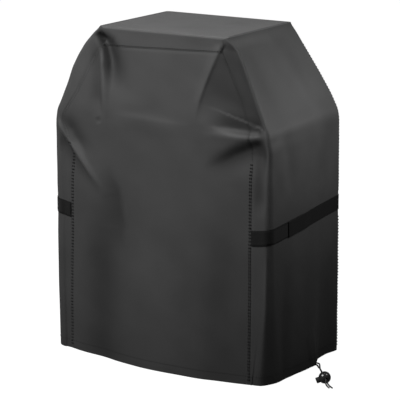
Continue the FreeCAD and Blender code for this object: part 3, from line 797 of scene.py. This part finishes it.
cord_braid = braided("cord_braid")
FRONT_TAIL = [(.425756, .062, CORD_Z), (.436756, .062, CORD_Z), (.4465, .052, .0062), (.4665, .02, .0132),
              (.483124, -.003229, .021943), (.52134, -.050913, .021943), (.552611, -.08993, .021943),
              (.559809, -.105806, .0083), (.575095, -.107825, .0027)]
REAR_TAIL = [(.425345, .078, CORD_Z), (.436345, .078, CORD_Z), (.4445, .069, .0056), (.466, .03, .0096),
             (.484512, -.002117, .017057), (.52134, -.048088, .017057), (.552611, -.087087, .017057),
             (.567925, -.099302, .0063), (.584149, -.103132, .0027)]
for name, route, length in (("front", FRONT_TAIL, .2435), ("rear", REAR_TAIL, .2552)):
    line = cord_line(route)
    left = np.linalg.norm(line - line[-1], axis=1)
    radii = CORD * (1.0 - .12 * ((left > .0035) & (left < .006)))
    radii = np.where(left < .0012, CORD * np.sqrt(np.clip(1 - ((.0012 - left) / .0012) ** 2, .02, 1)), radii)
    tail = tube(name + "_tail", line, radii)
    tail.data.materials.append(cord_braid)
    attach(tail, "cover")
    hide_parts("drawcord_tail_" + name)

out_place, in_place = side_share(.095, 1, .005), side_share(.041, 1, .005)
left_way = places_through((0, 1, 2, 3, 4, 5, 6), (60, 6, 14, 60, 10, 60))
q = np.concatenate([places_through((out_place, 4, 5, 6), (40, 10, 60)), -left_way[-2::-1],
                    places_through((0, 1, 2, 3, in_place), (60, 6, 14, 40))[1:]])
inside = skin(q, np.full(q.shape, CORD_Z), out=-.0058)
inside = np.concatenate([[[.425, .078, CORD_Z], [.4225, .0785, CORD_Z]], inside[2:-2],
                         [[.4228, .0615, CORD_Z], [.4254, .062, CORD_Z]]])
hem_cord = tube("hem_cord", inside, np.full(len(inside), CORD), sides=10)
hem_cord.data.materials.append(cord_braid)
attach(hem_cord, "cover")
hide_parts("drawcord")


# ---- straps
# Two straps on each side hold the cover in. The front one is sewn into the front seam and goes
# round the corner, with a loop tape along its outer face. The rear one is sewn at the rear corner
# and presses onto it with a hook tape. Both are cloth strip 51 mm wide with stitched edges.


def strap_level(y, u):
    """Height of the straps' middle line: it rises to the back, and drops a little round the front corner to the
    seam."""
    return .4885 + .052 * np.clip(y + .165, 0, .5) - .0095 * (1 - smooth(u, 1.0, 2.9))


def ribbon(name, places, sign, half, lift, thick):
    """A flat strip with rounded edges laid along the cover: a thin closed section, half high on each side of the
    straps' line and thick deep, carried along the given places, lift outside the cloth."""
    high = half * np.array([-1, -.985, -.93, -.74, -.5, -.25, 0, .25, .5, .74, .93, .985, 1,
                            .985, .93, .5, 0, -.5, -.93, -.985])
    deep = thick * np.array([.5, .9, 1.05, 1.02, .96, .95, .95, .95, .96, 1.02, 1.05, .9, .5, .1, 0, 0, 0, 0, 0, .1])
    q = sign * np.asarray(places)
    _, y = outline(q, np.full(q.shape, STRAP_Z))
    level = strap_level(y, np.abs(q))
    z = level[:, None] + high[None, :]
    _, normal = skin(q[:, None] + 0 * z, level[:, None] + 0 * z, normals=True)
    upright = skin(q[:, None] + 0 * z, z)
    lifted = (lift(y) if callable(lift) else lift + 0 * y)[:, None] + deep
    return carried(name, upright + normal * lifted[..., None])


strap_cloth = woven("strap_cloth", .006, .0105, .0009, .7, .00016, sheen=.02, gloss=.15)


def fuzzy(name, dark, light, scale, bump, sheen):
    """Fastener tape: short threads as fine cells with dark gaps between them."""
    material, surface, add, sums, noise, tones, bumped = node_set(name, .85, .12, Sheen_Weight=sheen,
                                                                  Sheen_Roughness=.6)
    place = add("ShaderNodeTexCoord").outputs["Object"]
    cells = add("ShaderNodeTexVoronoi", Vector=place, Scale=scale).outputs["Distance"]
    tufts = noise(scale * .22, 4.0)
    mixed = sums("ADD", sums("MULTIPLY", cells, .6), sums("MULTIPLY", tufts, .55))
    surface(Base_Color=tones(mixed, dark, light, .3, .85), Normal=bumped(.8, bump, mixed))
    return material


loop_pile = fuzzy("loop_pile", .003, .009, 900.0, .0005, .06)
hook_pile = fuzzy("hook_pile", .003, .012, 700.0, .0005, .04)


def stand_off(y):
    """How far the rear strap's inner face is from the cloth: over the front strap and both tapes, then down to
    the side behind them."""
    return .0006 + .0036 * (1 - smooth(y, .004, .06))


STRAP_HALF, TAPE_HALF = .0255, .0205         # half their widths
for name, sign in SIDES:
    front_run = places_through((1.0, 2, 3, side_share(0.0, sign)), (8, 24, 40))
    loop_run = places_through((1.1, 2, 3, side_share(-.006, sign)), (7, 24, 40))
    rear_run = places_through((side_share(-.097, sign), 4, 4.4), (70, 9))
    hook_run = np.linspace(side_share(-.091, sign), side_share(-.004, sign), 30)
    for end, kind, strap_run, tape_run, strap_lift, tape_lift, thick, pile, flat in (
            ("front", "loop", front_run, loop_run, .0004, .0016, .0009, loop_pile, (.27, .051)),
            ("rear", "hook", rear_run, hook_run, stand_off, .0031, .001, hook_pile, (.345, .051))):
        strap = ribbon(f"{name}_{end}_strap_cloth", strap_run, sign, STRAP_HALF, strap_lift, .0012)
        strap.data.materials.append(strap_cloth)
        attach(strap, f"{name}_{end}_strap")
        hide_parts(f"{name}_{end}_strap")
        tape = ribbon(f"{name}_{kind}_tape_pile", tape_run, sign, TAPE_HALF, tape_lift, thick)
        tape.data.materials.append(pile)
        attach(tape, f"{name}_{end}_strap")
        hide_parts(f"{name}_{kind}_tape")


# ---- stitching
# Every seam is topstitched with heavy black polyester thread. Each stitch is a short raised length
# that dips into the cloth at both its ends.


def stitches(name, points, normals, pitch, length, thick, wide=1.15):
    """A row of stitches along a line on the cloth: the line is cut into equal pitches, and each stitch is a small
    six-sided tube along it, whose height falls with the fourth power of the way to its ends, into the cloth. Wide
    spreads it across the line."""
    run = np.concatenate([[0], np.cumsum(np.linalg.norm(np.diff(points, axis=0), axis=1))])
    places = np.arange(pitch / 2, run[-1] - length / 2, pitch)
    share = np.linspace(-1, 1, 6)
    at = places[:, None] + share[None, :] * length / 2
    centre, normal = (np.stack([np.interp(at, run, values[:, i]) for i in range(3)], -1)
                      for values in (points, normals))
    normal = unit(normal)
    across = unit(np.cross(normal, unit(centre[:, -1:] - centre[:, :1])))
    rise = thick * (.55 - 1.3 * share ** 4)
    radius = thick / 2 * np.sqrt(np.clip(1.05 - share ** 6, .15, 1))
    turn = np.linspace(0, 2 * math.pi, 6, endpoint=False)[:, None]
    sideways, upwards = np.cos(turn) * across[:, :, None] * wide, np.sin(turn) * normal[:, :, None]
    rings = (centre + normal * rise[:, None])[:, :, None] + radius[:, None, None] * (sideways + upwards)
    ids = np.arange(len(places) * 36).reshape(len(places), 6, 6)
    nxt = np.roll(ids, -1, axis=2)
    quads = np.stack([ids[:, :-1], nxt[:, :-1], nxt[:, 1:], ids[:, 1:]], -1).reshape(-1, 4).tolist()
    caps = np.concatenate([ids[:, 0, ::-1], ids[:, -1]]).tolist()
    mesh = bpy.data.meshes.new(name)
    mesh.from_pydata(rings.reshape(-1, 3).tolist(), [], quads + caps)
    piece = turned_out(name, mesh)
    piece.data.materials.append(thread)
    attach(piece, "cover")


thread, surface, add, sums, noise, tones, bumped = node_set("sewing_thread", .65, .2, Sheen_Weight=.1)
place = add("ShaderNodeTexCoord").outputs["Object"]
twist = add("ShaderNodeTexWave", {"bands_direction": "DIAGONAL"},
            Vector=place, Scale=620.0, Distortion=1.0).outputs["Fac"]
surface(Base_Color=tones(twist, .003, .01), Normal=bumped(.5, .0001, twist))

for name, sign in SIDES:
    for part, z, pitch, thick in (("lower", np.linspace(.012, .715, 400), .0105, .0026),
                                  ("upper", np.linspace(.722, 1.03, 200), .0085, .0009)):
        for row, inset in (("inner", .0078), ("outer", .0026)):
            q = sign * (1 - inset / seam_place(z, np.full(z.shape, sign)))
            line, normal = skin(q, z, normals=True)
            stitches(f"{name}_front_seam_stitches_{part}_{row}", line, normal, pitch, .005, thick, wide=1.5)
    for part, z, thick in (("lower", np.linspace(.012, .47, 250), .0026),
                           ("upper", np.linspace(.545, 1.03, 250), .0014)):
        line, normal = skin(sign * 4.46 + 0 * z, z, normals=True)
        stitches(name + "_back_seam_stitches_" + part, line, normal, .0105, .0052, thick)
    y = np.linspace(-.165, .215, 160)
    line = np.stack([np.full(160, sign * SEAM_X), y, HEIGHT - .0003 - SAG * bowl(SEAM_X, y)], -1)
    stitches(name + "_top_seam_stitches", line, np.tile([0, 0, 1.0], (160, 1)), .0085, .0065, .002)

c = np.linspace(-.99, .99, 240)
line, normal = skin(c, flap_line(c * FLAP_HALF) + FLAP_STITCH, out=FLAP_OUT, normals=True)
stitches("front_flap_stitches", line, normal, .0105, .0052, .0024, wide=1.3)
line, normal = skin(back_place(-c), np.full(c.shape, BACK_FLAP + FLAP_STITCH), out=FLAP_OUT, normals=True)
stitches("back_flap_stitches", line, normal, .0085, .006, .0013)
for name, span in (("front", np.linspace(-.99, .99, 300)), ("right", np.linspace(1.05, 4.98, 500)),
                   ("left", -np.linspace(4.98, 1.05, 500)), ("back", back_place(np.linspace(.99, -.99, 300)))):
    line, normal = skin(span, np.full(span.shape, .0285), normals=True)
    stitches(name + "_hem_stitches", line, normal, .0085, .006, .0011)


# ---- studio
# A pale floor that runs out of sight. Three soft lights: a large one high in front to the left, a
# small one beside the right side with a grid that keeps it narrow, and a large one overhead. The
# camera is at the front right, a little above the cover.

floor_mesh = bpy.data.meshes.new("floor")
floor_mesh.from_pydata([(-30, -30, -.0002), (30, -30, -.0002), (30, 30, -.0002), (-30, 30, -.0002)], [], [(0, 1, 2, 3)])
floor = placed("floor", floor_mesh)
pale, surface, add, *_ = node_set("pale_floor", .9, .1, Base_Color=(.09, .09, .09, 1), Emission_Color=(1, 1, 1, 1))
surface(Emission_Strength=add("ShaderNodeLightPath").outputs["Is Camera Ray"])
floor_mesh.materials.append(pale)

world = bpy.data.worlds.new("studio")
world.use_nodes = True
nodes, links = world.node_tree.nodes, world.node_tree.links
nodes["Background"].inputs["Color"].default_value = (1, 1, 1, 1)
seen = nodes.new("ShaderNodeMapRange")       # the backdrop is white where it is seen, and gives only a little light
seen.inputs["To Min"].default_value, seen.inputs["To Max"].default_value = .08, 1.0
links.new(nodes.new("ShaderNodeLightPath").outputs["Is Camera Ray"], seen.inputs["Value"])
links.new(seen.outputs["Result"], nodes["Background"].inputs["Strength"])
bpy.context.scene.world = world


def softbox(name, place, target, size, watts, spread=180):
    """A soft light at a place, facing a target; spread is how wide its grid lets it shine, in degrees."""
    lamp = bpy.data.lights.new(name, "AREA")
    lamp.shape, lamp.size, lamp.size_y, lamp.energy = "RECTANGLE", size[0], size[1], watts
    lamp.spread = math.radians(spread)
    holder = placed(name, lamp)
    holder.location = place
    holder.visible_camera = False
    holder.rotation_euler = (Vector(target) - Vector(place)).to_track_quat("-Z", "Y").to_euler()


softbox("key", (-1.2, -2.3, 2.9), (0, -.2, .75), (1.9, 1.4), 143)
softbox("fill", (1.05, .2, 1.16), (.37, .08, .93), (.45, .45), 3.6, 130)
softbox("overhead", (-.4, .5, 2.6), (0, 0, 1.09), (1.0, 1.0), 27)

camera = bpy.data.cameras.new("camera")
camera.lens, camera.sensor_width = 163.03, 36
eye = placed("camera", camera)
eye.location = (3.088, -4.8744, 1.9421)
eye.rotation_euler = (math.radians(90 - 13.916), 0, math.radians(32.12))
bpy.context.scene.camera = eye
bpy.context.scene.view_settings.view_transform = "Standard"
